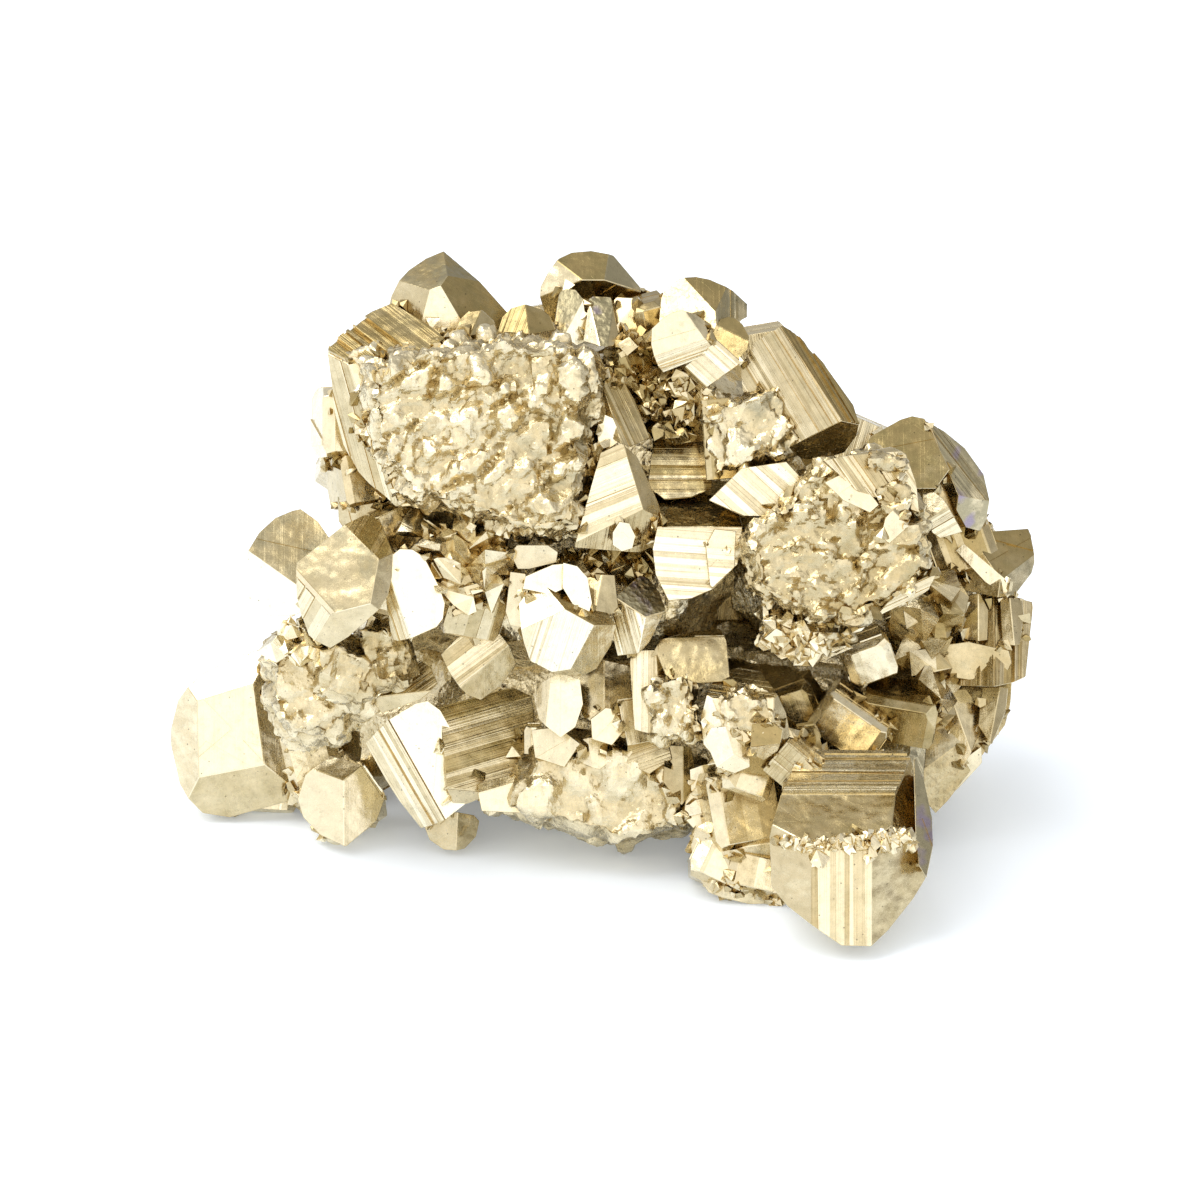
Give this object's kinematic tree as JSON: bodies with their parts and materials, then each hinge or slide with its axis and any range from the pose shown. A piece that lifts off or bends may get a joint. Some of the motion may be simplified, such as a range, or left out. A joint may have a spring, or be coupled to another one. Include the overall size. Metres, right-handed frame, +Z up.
{
  "type": "pyrite crystal cluster",
  "caption": "Cluster of intergrown brassy pyrite cubes, pyritohedra and broken lumps, standing on its lowest crystals for display.",
  "frame": {"origin": "centre of the bounding box on the plane the cluster stands on", "axes": "+X along the cluster's width, to the right seen from the display side; +Z up; the display side faces -Y"},
  "size_m": [0.088, 0.0592, 0.0602],
  "materials": {
    "pyrite": "pale brassy metallic crystal faces, bright where clean and brown where tarnished"
  },
  "bodies": {
    "root": {"pyrite_cluster": "pyrite"}
  },
  "joints": []
}
